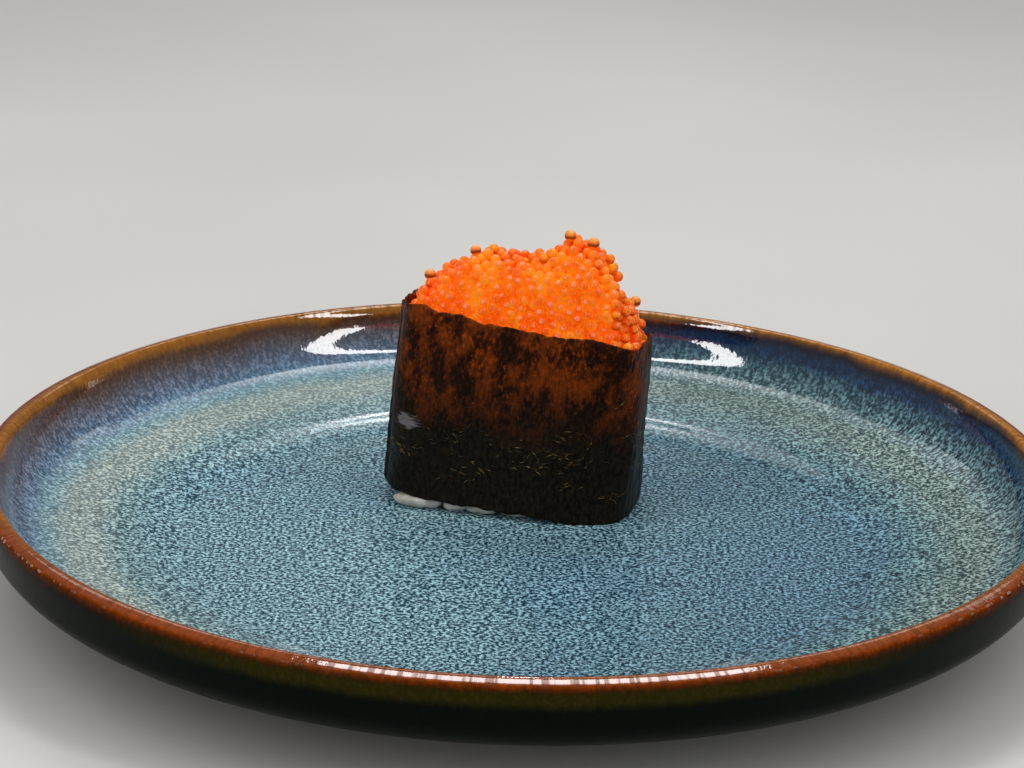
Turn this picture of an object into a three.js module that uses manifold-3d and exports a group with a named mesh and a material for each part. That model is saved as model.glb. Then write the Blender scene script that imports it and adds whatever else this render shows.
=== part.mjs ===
// A round stoneware side plate that carries one boat-shaped sushi: a pressed block of rice,
// a strip of roasted seaweed wound round it, and a heap of flying fish roe that fills the strip.
// Millimetres, +Z up. The origin is on the plate's axis, at the level it stands on.
import * as THREE from "three";
import { mergeVertices } from "three/addons/utils/BufferGeometryUtils.js";
import Module from "manifold-3d";

const wasm = await Module();
wasm.setup();

// The plate: a flat well, a shallow shoulder, a steep short wall and a rolled lip.
const PLATE = {
  radius: 90,
  height: 21.3,
  floor: 7,
  wellRadius: 54,
  shoulderRadius: 79,
  shoulderHeight: 11.1,
  lipWidth: 3.2,
  thickness: 4.4,
  footRadius: 54,
  footWidth: 3.4,
  footHeight: 2.5,
  segments: 60,
};

// The sushi's footprint is a squared oval, and it leans to its right as it rises.
const SUSHI = {
  x: -1.85,
  y: 20.2,
  turnDegrees: -11.5,
  length: 44.2,
  width: 24,
  squareness: 3.7,
  lean: 0.0765,
  taper: 0.03,
};

// The strip of seaweed. Its upper edge falls to the right and to the back, its lower edge to
// the right, where it meets the plate.
const STRIP = {
  thickness: 0.5,
  topHeight: 32.8,
  topSlope: -0.105,
  topTilt: -0.14,
  bottomHeight: 1.35,
  bottomSlope: -0.07,
  ripple: 0.3,
  steps: 72,
  rows: 5,
};

// The loose end of the strip laps the left tip and lifts a little towards its foot.
const FLAP = { startDegrees: 128, endDegrees: 196, lift: 0.4, columns: 9 };

const GAP = 0.3;
const WALL = STRIP.thickness + GAP;

const RICE = {
  height: 15.8,
  grainLength: 7.2,
  grainWidth: 2.7,
  grains: 36,
  sides: 5,
  steps: 30,
};

// The roe: one dome that fills the strip, with a peak on the right, a long left shoulder and
// a steep drop at the right end, which starts sooner at the back. A few eggs stand proud of it.
const ROE = {
  eggDiameter: 1.9,
  spacing: 2.42,
  throws: 8000,
  sink: 0.8,
  carried: 1.3,
  domeHeight: 11.2,
  peakHeight: 5.4,
  peakX: 8.8,
  peakY: 0,
  peakReachX: 5.8,
  peakReachY: 6.5,
  shoulderStart: -27,
  shoulderEnd: -5,
  dropStart: 15,
  dropEnd: 18.2,
  dropSkew: 0.3,
  drop: 0.4,
  edgePower: 10,
  steps: 40,
  rings: 6,
};

// Eggs that stand proud of the heap: their place in plan and how far they rise over its surface.
const PROUD_EGGS = [
  { x: -16.8, y: -1, rise: 0.8 },
  { x: -10.2, y: 0, rise: 1.4 },
  { x: 8.3, y: 0, rise: 0.1 },
  { x: 11.1, y: 0, rise: 0.9 },
  { x: 16.3, y: -0.5, rise: 1.4 },
  { x: 17.7, y: 0.5, rise: 1.5 },
];

const COLOURS = { glaze: 0x4f8496, seaweed: 0x17160f, rice: 0xe6e2d8, roe: 0xff6a14 };

const { smoothstep, lerp, degToRad } = THREE.MathUtils;
const turn = (step, steps) => (2 * Math.PI * step) / steps;

// A seeded draw, so that every build scatters the grains and eggs alike.
function seededRandom(seed) {
  let state = seed;
  return () => {
    state = (state + 0x6d2b79f5) | 0;
    let t = Math.imul(state ^ (state >>> 15), 1 | state);
    t = (t + Math.imul(t ^ (t >>> 7), 61 | t)) ^ t;
    return ((t ^ (t >>> 14)) >>> 0) / 4294967296;
  };
}

function geometryFrom(points, faces) {
  const geometry = new THREE.BufferGeometry();
  const flat = points.flatMap((p) => [p.x, p.y, p.z]);
  geometry.setAttribute("position", new THREE.Float32BufferAttribute(flat, 3));
  geometry.setIndex(faces);
  return geometry;
}

function solidFrom(geometry) {
  const bare = geometry.clone();
  bare.deleteAttribute("normal");
  bare.deleteAttribute("uv");
  const merged = mergeVertices(bare, 1e-4);
  return new wasm.Manifold(
    new wasm.Mesh({
      numProp: 3,
      vertProperties: new Float32Array(merged.attributes.position.array),
      triVerts: new Uint32Array(merged.index.array),
    }),
  );
}

function geometryOf(solid) {
  const mesh = solid.getMesh();
  const geometry = new THREE.BufferGeometry();
  geometry.setAttribute("position", new THREE.BufferAttribute(mesh.vertProperties, 3));
  geometry.setIndex(new THREE.BufferAttribute(mesh.triVerts, 1));
  geometry.computeVertexNormals();
  return geometry;
}

// Of the bodies that a join leaves, the largest: a scrap that floats free is dropped.
function largestBody(solid) {
  return solid.decompose().reduce((a, b) => (a.volume() > b.volume() ? a : b));
}

// A closed solid from rings of points, top ring first, with a single point at each end.
function ringSolid(first, rings, last) {
  const count = rings[0].length;
  const points = [first, ...rings.flat(), last];
  const at = (ring, step) => 1 + ring * count + (step % count);
  const end = points.length - 1;
  const faces = [];
  for (let step = 0; step < count; step += 1) {
    faces.push(0, at(0, step), at(0, step + 1));
    for (let ring = 0; ring < rings.length - 1; ring += 1) {
      faces.push(at(ring, step), at(ring + 1, step), at(ring + 1, step + 1));
      faces.push(at(ring, step), at(ring + 1, step + 1), at(ring, step + 1));
    }
    faces.push(end, at(rings.length - 1, step + 1), at(rings.length - 1, step));
  }
  return solidFrom(geometryFrom(points, faces));
}

// A closed sheet from its outer and inner faces, each a grid [column][row]. A ring joins its ends.
function sheetSolid(outer, inner, isRing) {
  const columns = outer.length;
  const rows = outer[0].length;
  const top = rows - 1;
  const last = columns - 1;
  const points = [...outer.flat(), ...inner.flat()];
  const at = (face, column, row) => (face * columns + (column % columns)) * rows + row;
  const faces = [];
  const quad = (a, b, c, d) => faces.push(a, b, c, a, c, d);
  for (let column = 0; column < (isRing ? columns : last); column += 1) {
    const next = column + 1;
    for (let row = 0; row < top; row += 1) {
      quad(at(0, column, row), at(0, next, row), at(0, next, row + 1), at(0, column, row + 1));
      quad(at(1, column, row), at(1, column, row + 1), at(1, next, row + 1), at(1, next, row));
    }
    quad(at(1, column, 0), at(1, next, 0), at(0, next, 0), at(0, column, 0));
    quad(at(0, column, top), at(0, next, top), at(1, next, top), at(1, column, top));
  }
  for (let row = 0; row < (isRing ? 0 : top); row += 1) {
    quad(at(0, 0, row), at(0, 0, row + 1), at(1, 0, row + 1), at(1, 0, row));
    quad(at(0, last, row), at(1, last, row), at(1, last, row + 1), at(0, last, row + 1));
  }
  return solidFrom(geometryFrom(points, faces));
}

// A point of the sushi's outline, moved in from its outer face and scaled towards its middle.
function outlinePoint(angle, height, inset = 0, reach = 1) {
  const cos = Math.cos(angle);
  const sin = Math.sin(angle);
  const power = 2 / SUSHI.squareness;
  const halfLength = SUSHI.length / 2 - SUSHI.taper * height - inset;
  const halfWidth = SUSHI.width / 2 - inset;
  const x = reach * halfLength * Math.sign(cos) * Math.abs(cos) ** power;
  const y = reach * halfWidth * Math.sign(sin) * Math.abs(sin) ** power;
  return new THREE.Vector3(x + SUSHI.lean * height, y, height);
}

// The same with the strip's slow dents and swells, which rice and roe follow from inside.
function wallPoint(angle, height, inset = 0) {
  const swell =
    0.22 * Math.sin(3 * angle + 0.12 * height) + 0.14 * Math.sin(7 * angle - 0.2 * height);
  return outlinePoint(angle, height, inset - swell);
}

function topEdge(angle) {
  const { x, y } = outlinePoint(angle, 0);
  const waves = Math.sin(5 * angle + 0.7) + 0.6 * Math.sin(11 * angle + 2.1);
  return STRIP.topHeight + STRIP.topSlope * x + STRIP.topTilt * y + STRIP.ripple * waves;
}

function bottomEdge(angle) {
  const { x } = outlinePoint(angle, 0);
  const wave = 0.5 * STRIP.ripple * Math.sin(7 * angle);
  return Math.max(GAP, STRIP.bottomHeight + STRIP.bottomSlope * x + wave);
}

function makePlate() {
  const { radius, height, floor, lipWidth, thickness } = PLATE;
  const { footRadius, footWidth, footHeight } = PLATE;
  const { wellRadius, shoulderRadius, shoulderHeight } = PLATE;
  const lipInner = radius - lipWidth;
  const footInner = footRadius - footWidth;
  const under = floor - thickness;
  const bevel = 0.6;
  const profile = new THREE.Path();
  profile.moveTo(0, under);
  profile.lineTo(footInner - 1.2, under);
  profile.lineTo(footInner, bevel);
  profile.lineTo(footInner + bevel, 0);
  profile.lineTo(footRadius - bevel, 0);
  profile.lineTo(footRadius, bevel);
  profile.quadraticCurveTo(footRadius + 0.4, footHeight, footRadius + 4, footHeight + 1.1);
  profile.lineTo(shoulderRadius - 4, shoulderHeight - thickness - 0.6);
  profile.quadraticCurveTo(radius - 3.2, shoulderHeight - 2.6, radius - 1, shoulderHeight + 2.6);
  profile.quadraticCurveTo(radius, height - 3.4, radius, height - 1.9);
  profile.quadraticCurveTo(radius, height, radius - lipWidth / 2, height);
  profile.quadraticCurveTo(lipInner + 0.3, height, lipInner - 0.3, height - 1.7);
  profile.quadraticCurveTo(radius - 5.2, shoulderHeight + 1.2, shoulderRadius, shoulderHeight);
  profile.lineTo(wellRadius + 9, floor + 1.4);
  profile.quadraticCurveTo(wellRadius + 4, floor, wellRadius, floor);
  profile.lineTo(0, floor);
  const points = profile.getPoints(3);
  points.at(0).x = 0;
  points.at(-1).x = 0;
  const turned = new THREE.LatheGeometry(points, PLATE.segments);
  turned.rotateX(Math.PI / 2);
  return solidFrom(turned);
}

function makeStrip() {
  const angles = Array.from({ length: STRIP.steps }, (_, step) => turn(step, STRIP.steps));
  const face = (inset) =>
    angles.map((angle) =>
      Array.from({ length: STRIP.rows }, (_, row) => {
        const height = lerp(bottomEdge(angle), topEdge(angle), row / (STRIP.rows - 1));
        return wallPoint(angle, height, inset);
      }),
    );
  return sheetSolid(face(0), face(STRIP.thickness), true);
}

// The outer layer of the lap. It starts inside the strip's own face and ends in a step.
function makeFlap() {
  const face = (isOuter) =>
    Array.from({ length: FLAP.columns + 1 }, (_, step) => {
      const along = step / FLAP.columns;
      const angle = degToRad(lerp(FLAP.startDegrees, FLAP.endDegrees, along));
      const low = bottomEdge(angle) + 0.8;
      const high = topEdge(angle) - 0.5;
      return Array.from({ length: STRIP.rows }, (_, row) => {
        const rise = row / (STRIP.rows - 1);
        const lift = FLAP.lift * (1 - rise) ** 1.5 * along ** 4;
        const proud = STRIP.thickness * (0.1 + 0.9 * Math.sqrt(along)) + lift;
        const back = Math.max(-0.4 * STRIP.thickness, proud - STRIP.thickness);
        return wallPoint(angle, lerp(low, high, rise), isOuter ? -proud : -back);
      });
    });
  return sheetSolid(face(true), face(false), false);
}

// The room that the strip's foot takes up, grown by the gap, so that grains stay clear of it.
function makeFootClearance() {
  const angles = Array.from({ length: STRIP.steps }, (_, step) => turn(step, STRIP.steps));
  const face = (inset) =>
    angles.map((angle) => {
      const low = bottomEdge(angle) - GAP;
      return [low, low + 2 * RICE.grainWidth].map((height) => wallPoint(angle, height, inset));
    });
  return sheetSolid(face(-3), face(WALL), true);
}

// A broad block under a height, to trim what would reach into the plate.
function slabBelow(height) {
  const depth = 10;
  const box = new THREE.BoxGeometry(2 * SUSHI.length, 2 * SUSHI.length, depth);
  box.translate(0, 0, height - depth / 2);
  return solidFrom(box);
}

// One cooked grain: a stubby capsule with few sides, lying along X.
function grainSolid(length, width) {
  const stations = [-0.28, 0.3];
  const girths = [1, 0.92];
  const rings = stations.map((station, index) =>
    Array.from({ length: RICE.sides }, (_, side) => {
      const angle = -turn(side, RICE.sides);
      const radius = (girths[index] * width) / 2;
      return new THREE.Vector3(station * length, radius * Math.cos(angle), radius * Math.sin(angle));
    }),
  );
  const tip = (side) => new THREE.Vector3((side * length) / 2, 0, 0);
  return ringSolid(tip(-1), rings, tip(1));
}

// Grains lie round the block's foot wherever the strip's lower edge leaves them showing. They
// bulge past the strip along the sides and stay behind it at the ends.
function makeFootGrains() {
  const random = seededRandom(7);
  const grains = [];
  for (let index = 0; index < RICE.grains; index += 1) {
    const angle = turn(index + 0.5 * random(), RICE.grains);
    const width = RICE.grainWidth * (0.86 + 0.2 * random());
    const length = RICE.grainLength * (0.8 + 0.3 * random());
    const inset = 0.35 + 0.4 * random() + 0.9 * Math.abs(Math.cos(angle));
    const centre = outlinePoint(angle, GAP + 0.45 * width, inset);
    const ahead = outlinePoint(angle + 0.05, centre.z, inset);
    const heading = Math.atan2(ahead.y - centre.y, ahead.x - centre.x) + 0.6 * (random() - 0.5);
    const pitch = 0.12 * (random() - 0.5);
    const pose = new THREE.Matrix4();
    pose.makeRotationFromEuler(new THREE.Euler(0, pitch, heading, "ZYX"));
    pose.setPosition(centre);
    if (bottomEdge(angle) < 3 * GAP) continue;
    grains.push(grainSolid(length, width).transform(pose.elements));
  }
  return wasm.Manifold.union(grains).subtract(makeFootClearance());
}

function makeRice() {
  const ring = (height, inset) =>
    Array.from({ length: RICE.steps }, (_, step) => {
      return wallPoint(turn(step, RICE.steps), height, WALL + 0.15 + inset);
    });
  const block = ringSolid(
    new THREE.Vector3(0, 0, RICE.height),
    [ring(RICE.height, 1), ring(RICE.height - 1, 0), ring(9, 0), ring(3, 0), ring(GAP, 1)],
    new THREE.Vector3(0, 0, GAP),
  );
  return largestBody(block.add(makeFootGrains()).subtract(slabBelow(GAP)));
}

// The heap's surface over a spot of the sushi's plan, where the middles of its eggs lie. The
// reach is 0 in the middle of the heap and 1 where it meets the strip.
function heapHeight(x, y, reach) {
  const base = STRIP.topHeight + STRIP.topSlope * x + STRIP.topTilt * y - 0.9;
  const shoulder = smoothstep(x, ROE.shoulderStart, ROE.shoulderEnd);
  const aside = ((x - ROE.peakX) / ROE.peakReachX) ** 2 + ((y - ROE.peakY) / ROE.peakReachY) ** 2;
  const drop = 1 - ROE.drop * smoothstep(x + ROE.dropSkew * y, ROE.dropStart, ROE.dropEnd);
  const lumps = 0.5 * Math.sin(0.9 * x + 1.3) * Math.cos(0.7 * y);
  const rise = ROE.domeHeight * shoulder + ROE.peakHeight * Math.exp(-aside) + lumps;
  const edge = Math.sqrt(1 - reach ** ROE.edgePower);
  const crown = (1 - (2 * Math.abs(y) / SUSHI.width) ** 2.2) ** 0.8;
  return base + rise * drop * edge * crown;
}

function heapPoint(angle, reach) {
  const inset = WALL + 0.55 * ROE.eggDiameter;
  const point = outlinePoint(angle, STRIP.topHeight, inset, reach);
  point.z = heapHeight(point.x - SUSHI.lean * STRIP.topHeight, point.y, reach);
  return point;
}

function eggSolid(centre) {
  const geometry = new THREE.IcosahedronGeometry(1.06 * (ROE.eggDiameter / 2), 0);
  geometry.rotateX(centre.x);
  geometry.rotateZ(centre.y);
  geometry.translate(centre.x, centre.y, centre.z);
  return solidFrom(geometry);
}

// Eggs thrown at the heap in a seeded order. One is kept where it clears all that lie there,
// and those that carry the proud eggs are laid first.
function scatterEggs() {
  const random = seededRandom(41);
  const shift = SUSHI.lean * STRIP.topHeight;
  const half = SUSHI.length / 2;
  const kept = PROUD_EGGS.map(({ x, y, rise }) => {
    const sunk = Math.max(0, ROE.carried - rise);
    return new THREE.Vector3(x + shift, y, heapHeight(x, y, Math.abs(x) / half) - sunk);
  });
  for (let thrown = 0; thrown < ROE.throws; thrown += 1) {
    const centre = heapPoint(turn(random(), 1), Math.sqrt(random()));
    if (kept.every((other) => other.distanceTo(centre) > ROE.spacing)) kept.push(centre);
  }
  const proud = PROUD_EGGS.map(({ rise }, index) => {
    return kept[index].clone().add(new THREE.Vector3(0, 0, Math.max(rise, ROE.carried)));
  });
  return [...kept, ...proud];
}

function makeRoe() {
  const low = RICE.height + GAP;
  const around = (make) =>
    Array.from({ length: ROE.steps }, (_, step) => make(turn(step, ROE.steps)));
  const sunk = (angle, reach) => heapPoint(angle, reach).sub(new THREE.Vector3(0, 0, ROE.sink));
  const rings = Array.from({ length: ROE.rings }, (_, index) =>
    around((angle) => sunk(angle, (index + 1) / ROE.rings)),
  );
  for (const height of [26, 21]) {
    rings.push(around((angle) => wallPoint(angle, height, WALL + 0.2)));
  }
  rings.push(around((angle) => wallPoint(angle, low, WALL + 0.2)));
  const core = ringSolid(sunk(0, 0), rings, new THREE.Vector3(0, 0, low));
  return largestBody(wasm.Manifold.union([core, ...scatterEggs().map(eggSolid)]));
}

function named(name, solid, colour, roughness) {
  const material = new THREE.MeshStandardMaterial({ color: colour, roughness, metalness: 0 });
  const mesh = new THREE.Mesh(geometryOf(solid), material);
  mesh.name = name;
  return mesh;
}

const sushi = new THREE.Group();
sushi.position.set(SUSHI.x, SUSHI.y, PLATE.floor);
sushi.rotation.z = degToRad(SUSHI.turnDegrees);
sushi.add(named("seaweed_strip", makeStrip().add(makeFlap()), COLOURS.seaweed, 0.35));
sushi.add(named("rice_block", makeRice(), COLOURS.rice, 0.5));
sushi.add(named("roe_heap", makeRoe(), COLOURS.roe, 0.15));

const plateOfTobiko = new THREE.Group();
plateOfTobiko.add(named("plate", makePlate(), COLOURS.glaze, 0.12));
plateOfTobiko.add(sushi);

export default plateOfTobiko;
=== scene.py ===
"""A plate of tobiko: a boat sushi of rice, seaweed and flying fish roe on a glazed side plate.

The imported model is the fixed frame, and each piece is built where its solid lies. Settings and
meshes are in metres. The shape functions work in millimetres, as the part's own source does.
"""

import math

import bmesh
import bpy
import numpy as np
from mathutils import Matrix, Vector, noise


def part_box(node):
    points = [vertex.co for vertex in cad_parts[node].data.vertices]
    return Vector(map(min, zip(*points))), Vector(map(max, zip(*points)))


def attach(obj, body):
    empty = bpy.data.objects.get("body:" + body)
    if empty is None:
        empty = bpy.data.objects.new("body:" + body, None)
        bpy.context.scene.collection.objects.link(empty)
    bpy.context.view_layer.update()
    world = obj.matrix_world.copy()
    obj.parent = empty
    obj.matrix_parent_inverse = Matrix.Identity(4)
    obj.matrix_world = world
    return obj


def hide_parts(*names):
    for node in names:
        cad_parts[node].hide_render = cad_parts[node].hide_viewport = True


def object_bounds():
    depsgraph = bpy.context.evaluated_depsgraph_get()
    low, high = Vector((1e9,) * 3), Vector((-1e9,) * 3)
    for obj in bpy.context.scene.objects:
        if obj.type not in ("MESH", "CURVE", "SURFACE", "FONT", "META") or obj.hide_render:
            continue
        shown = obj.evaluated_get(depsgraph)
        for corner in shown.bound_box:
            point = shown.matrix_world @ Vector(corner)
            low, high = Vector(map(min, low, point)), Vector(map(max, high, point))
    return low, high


bl_info = {
    "name": "Plate of Tobiko",
    "version": (1, 0, 0),
    "blender": (4, 5, 0),
    "location": "View3D > Sidebar > Tobiko",
    "description": "Builds a glazed side plate that carries one boat sushi with flying fish roe",
    "category": "Object",
}

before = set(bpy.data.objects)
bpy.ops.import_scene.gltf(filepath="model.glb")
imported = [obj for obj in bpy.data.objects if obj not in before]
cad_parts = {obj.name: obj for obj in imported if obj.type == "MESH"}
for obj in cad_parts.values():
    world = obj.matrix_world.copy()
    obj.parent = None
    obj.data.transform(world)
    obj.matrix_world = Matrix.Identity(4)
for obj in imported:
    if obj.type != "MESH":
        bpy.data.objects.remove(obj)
CAD_LOW, CAD_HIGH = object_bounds()
PLATE_LOW, PLATE_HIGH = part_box("plate")

MM = 0.001

# The sushi's outline: a squared oval that leans to its right and narrows a little as it rises.
SQUARENESS = 3.7
LEAN = 0.0765
TAPER = 0.03

# The strip's upper edge falls to the right and to the back, its lower edge to the right.
TOP_SLOPE = -0.105
TOP_TILT = -0.14
BOTTOM_HEIGHT = 1.35
BOTTOM_SLOPE = -0.07
RIPPLE = 0.3

# The strip starts under its own lap at the back of the left tip and ends over it at the front.
LAP_START = math.radians(128)
LAP_END = math.radians(196)

# The heap of roe: a dome with a long left shoulder, a peak on the right and a steep right end,
# which starts sooner at the back.
SHOULDER = (-27, -5)
PEAK = (8.8, 0.0)
PEAK_REACH = (5.8, 6.5)
DROP = (13.8, 17.4)
DROP_SKEW = 0.3
DROP_SHARE = 0.4
EDGE_POWER = 10

# How far the middles of the outermost eggs lie inside the strip's outer face, and how far past
# the heap's own edge an egg may come to rest.
HEAP_INSET = 1.845
EGGS_REACH = 1.04

# Loose eggs on top of the heap, from its left end to its right: plan place and wanted height.
LOOSE_EGGS = [
    (-16.8, -1.0, 38.4),
    (-10.2, 0.0, 43.9),
    (7.3, -0.2, 48.2),
    (10.2, 0.0, 46.7),
    (17.6, 6.0, 35.4),
]

# Grains that show along the front of the foot: place along the sushi, how far back they lie,
# length, girth, height and heading in degrees.
FRONT_GRAINS = [
    (-14.1, 0.0, 8.9, 2.9, 1.25, 0),
    (-7.4, 0.3, 4.2, 2.4, 1.0, 12),
    (-2.9, 0.4, 5.9, 2.1, 0.9, -4),
    (3.2, 0.8, 6.4, 1.9, 0.8, 3),
]

# A painted highlight on the seaweed's front left corner, where a fold catches the light:
# the middle of it, and how much wider it is than it is high.
PAINTED_SHEEN_STRETCH = 2.2
PAINTED_SHEEN = (-20.0, 13.2, 22.7 * PAINTED_SHEEN_STRETCH)

# How many columns and rows of points the fine meshes have.
PLATE_COLUMNS = 360
STRIP_GRID = (520, 84)
BLOCK_GRID = (160, 26)
MOUND_COLUMNS = 220
MOUND_RINGS = 44
MOUND_WALL_ROWS = 8

# Bunches of fibres on the strip, and the length of one step along a fibre.
FIBRE_BUNCHES = 96
FIBRE_STEP = 0.14

# How far under the heap's form the lowest eggs lie, how much of an egg's width neighbours keep
# apart, and how many eggs in a row may find no room before the pile is full.
EGG_BED = 3.0
EGG_SPACING = 0.93
EGG_MISSES = 60

# Where the camera stands, and the point behind the sushi that all the lamps face.
CAMERA_PLACE = (-1.995, -466.248, 193.317)
LAMP_AIM = (0, 77, 15)


def tint(code):
    """Linear red, green and blue of a display colour written as 0xRRGGBB."""
    shown = [(code >> shift & 255) / 255 for shift in (16, 8, 0)]
    return tuple(v / 12.92 if v <= 0.04045 else ((v + 0.055) / 1.055) ** 2.4 for v in shown)


def length(name, description, millimetres):
    """A length setting, in metres, whose default is given in millimetres."""
    return bpy.props.FloatProperty(
        name=name,
        description=description,
        default=millimetres * MM,
        unit="LENGTH",
        subtype="DISTANCE",
    )


def angle(name, description, degrees):
    """A setting for an angle."""
    return bpy.props.FloatProperty(
        name=name,
        description=description,
        default=math.radians(degrees),
        unit="ROTATION",
        subtype="ANGLE",
    )


def colour(name, description, code):
    """A colour setting whose default is a display colour."""
    return bpy.props.FloatVectorProperty(
        name=name,
        description=description,
        default=tint(code),
        size=3,
        min=0,
        max=1,
        subtype="COLOR",
    )


class PlateSettings(bpy.types.PropertyGroup):
    """Sizes and glaze colours of the plate."""

    radius: length("Radius", "From the axis to the outside of the lip", PLATE_HIGH.x / MM)
    height: length("Height", "From the table to the top of the lip", PLATE_HIGH.z / MM)
    floor: length("Well height", "From the table to the flat well", 7)
    well_radius: length("Well radius", "Where the flat well ends", 54)
    shoulder_radius: length("Shoulder radius", "Where the wall starts to rise", 79)
    shoulder_height: length("Shoulder height", "Height at the foot of the wall", 11.1)
    lip_width: length("Lip width", "Width of the rolled lip", 3.2)
    thickness: length("Thickness", "Of the stoneware under the well", 4.4)
    foot_radius: length("Foot radius", "Outside of the foot ring", 54)
    foot_width: length("Foot width", "Width of the foot ring", 3.4)
    well: colour("Well", "The blue of the well between its flecks", 0x668C9A)
    sage: colour("Sage band", "The broad band round the shoulder", 0x8CA09F)
    aqua: colour("Aqua band", "Between the sage band and the wall", 0x749AA8)
    lavender: colour("Lavender wall", "The wall on the left", 0x626C82)
    cobalt: colour("Cobalt wall", "The wall on the right", 0x1C3A5C)
    denim: colour("Denim cloud", "The bluer clouds in the well", 0x4C7292)
    amber: colour("Amber lip", "Where the glaze runs thin on the lip", 0xAC6A10)
    umber: colour("Umber lip", "The darker edge of the lip's amber", 0x5E3A22)
    rust: colour("Rust lip", "The front and the outer side of the lip", 0x8C3C02)
    olive: colour("Olive band", "Under the lip on the outside", 0x2C2806)
    teal: colour("Teal outside", "The dark glaze of the outside", 0x060E0A)
    clay: colour("Bare clay", "The unglazed foot ring", 0x9C8468)


class SushiSettings(bpy.types.PropertyGroup):
    """Place and size of the sushi and of its strip of seaweed."""

    x: length("Place X", "Middle of its foot on the plate", -1.85)
    y: length("Place Y", "Middle of its foot on the plate", 20.2)
    turn: angle("Turn", "Of its long side about the plate's axis", -11.5)
    length: length("Length", "Along the long side, over the strip", 44.2)
    width: length("Width", "Across the short side, over the strip", 24)
    strip_height: length("Strip height", "Of the strip's upper edge in the middle", 32.8)
    strip_thickness: length("Strip thickness", "Of one layer of seaweed", 0.32)
    seaweed: colour("Seaweed", "Its near black brown", 0x2A2216)
    # Painted light: the roe's light shining through the strip's upper part, painted into its colour.
    seaweed_painted_glow: colour("Seaweed glow", "Where the roe shines through", 0x8C3C08)
    seaweed_fibre: colour("Seaweed fibre", "Fine straw coloured fibres", 0xC8A868)


class RiceSettings(bpy.types.PropertyGroup):
    """Size and colour of the rice."""

    height: length("Block height", "Of the pressed block", 15.8)
    grain_length: length("Grain length", "Of one cooked grain", 6.6)
    grain_width: length("Grain width", "Of one cooked grain", 2.7)
    grains: bpy.props.IntProperty(
        name="Grains in a row", description="Round the block's foot", default=34, min=3
    )
    colour: colour("Rice", "The grains' off white", 0xD6D1C8)


class RoeSettings(bpy.types.PropertyGroup):
    """Size and colours of the roe."""

    egg: length("Egg diameter", "Of one egg", 1.8)
    loose_egg: length("Loose egg diameter", "Of one loose egg", 1.98)
    dome: length("Dome height", "Of the heap over the strip's edge", 11.2)
    peak: length("Peak height", "Of the peak over the dome", 4.6)
    eggs: bpy.props.IntProperty(
        name="Eggs", description="The most that the heap may take", default=1900, min=10
    )
    tangerine: colour("Tangerine", "The brighter end of most eggs", 0xFF7E14)
    ember: colour("Ember", "The deeper end of most eggs", 0xFA5A08)
    gold: colour("Gold", "The few pale eggs and the pale clouds", 0xFFA41C)
    # Painted highlight: a pale pink-orange spot painted on the outward top of some eggs.
    peach_highlight: colour("Peach", "The top of some eggs", 0xFFA884)
    amber: colour("Amber", "A loose egg", 0xD87018)
    # Painted shade: the dark lens painted low in loose eggs and under the eggs that do not glow.
    shade: colour("Shade", "The dark lens in a loose egg", 0x8A3A0A)


class StageSettings(bpy.types.PropertyGroup):
    """Floor, lights and camera."""

    floor: colour("Floor", "Of the plain floor", 0xDCDAD6)
    arch_lamps: bpy.props.IntProperty(
        name="Arch lamps", description="Soft lamps in the arch before the plate", default=16, min=3
    )
    arch_reach: length("Arch reach", "From the back of the plate to each lamp", 800)
    arch_band: length("Arch band", "Width of the arch's lamps", 80)
    arch_rise: angle("Arch rise", "Of the arch's axis over the table", 42)
    arch_cone: angle("Arch cone", "Between the arch's axis and its lamps", 40.5)
    arch_sweep: angle("Arch sweep", "How much of a ring the arch fills", 265)
    arch_power: bpy.props.FloatProperty(
        name="Arch power", description="Of all its lamps", default=4.6, unit="POWER"
    )
    box_power: bpy.props.FloatProperty(
        name="Box power", description="Of the soft box over the plate", default=1.4, unit="POWER"
    )
    glow_power: bpy.props.FloatProperty(
        name="Glow power", description="Of the wide dim lamp behind", default=0.3, unit="POWER"
    )
    back_power: bpy.props.FloatProperty(
        name="Back power", description="Of the small lamp behind", default=0.025, unit="POWER"
    )
    room_light: bpy.props.FloatProperty(
        name="Room light", description="Strength of the even light all round", default=0.15, min=0
    )
    lens: bpy.props.FloatProperty(
        name="Lens", description="Focal length", default=104.7, unit="CAMERA"
    )
    pitch: angle("Pitch", "Of the camera, down from level", 18.83)
    roll: angle("Roll", "Of the camera about its own axis", 1.594)


def in_mm(value):
    """A setting's length in millimetres."""
    return value / MM


def smoothstep(value, low, high):
    """0 below low, 1 above high and a soft rise between."""
    share = np.clip((value - low) / (high - low), 0, 1)
    return share * share * (3 - 2 * share)


def new_piece(name, points, faces, material, smooth=True):
    """A mesh object from points in millimetres. An older piece of that name goes."""
    old = bpy.data.objects.get(name)
    if old:
        bpy.data.objects.remove(old)
    mesh = bpy.data.meshes.new(name)
    faces = [list(face) for face in faces]
    mesh.from_pydata((np.asarray(points) * MM).tolist(), [], faces)
    mesh.polygons.foreach_set("use_smooth", [smooth] * len(mesh.polygons))
    mesh.update()
    mesh.materials.append(material)
    piece = bpy.data.objects.new(name, mesh)
    bpy.context.scene.collection.objects.link(piece)
    return piece


def add_values(piece, name, values):
    """Stores one number for each point of a piece, for its material to read."""
    attribute = piece.data.attributes.new(name, "FLOAT", "POINT")
    attribute.data.foreach_set("value", np.asarray(values, np.float32))


def settle(piece, node):
    """Fixes a piece to the object's one body, in place of a solid where one is named."""
    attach(piece, "root")
    if node:
        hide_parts(node)


def grid_faces(columns, rows, closed):
    """Four-sided faces of a grid of points [column][row], joined end to end if closed."""
    last = columns if closed else columns - 1
    column = np.repeat(np.arange(last), rows - 1)
    row = np.tile(np.arange(rows - 1), last)
    here = column * rows + row
    there = (column + 1) % columns * rows + row
    return np.stack([here, there, there + 1, here + 1], axis=1)


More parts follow.
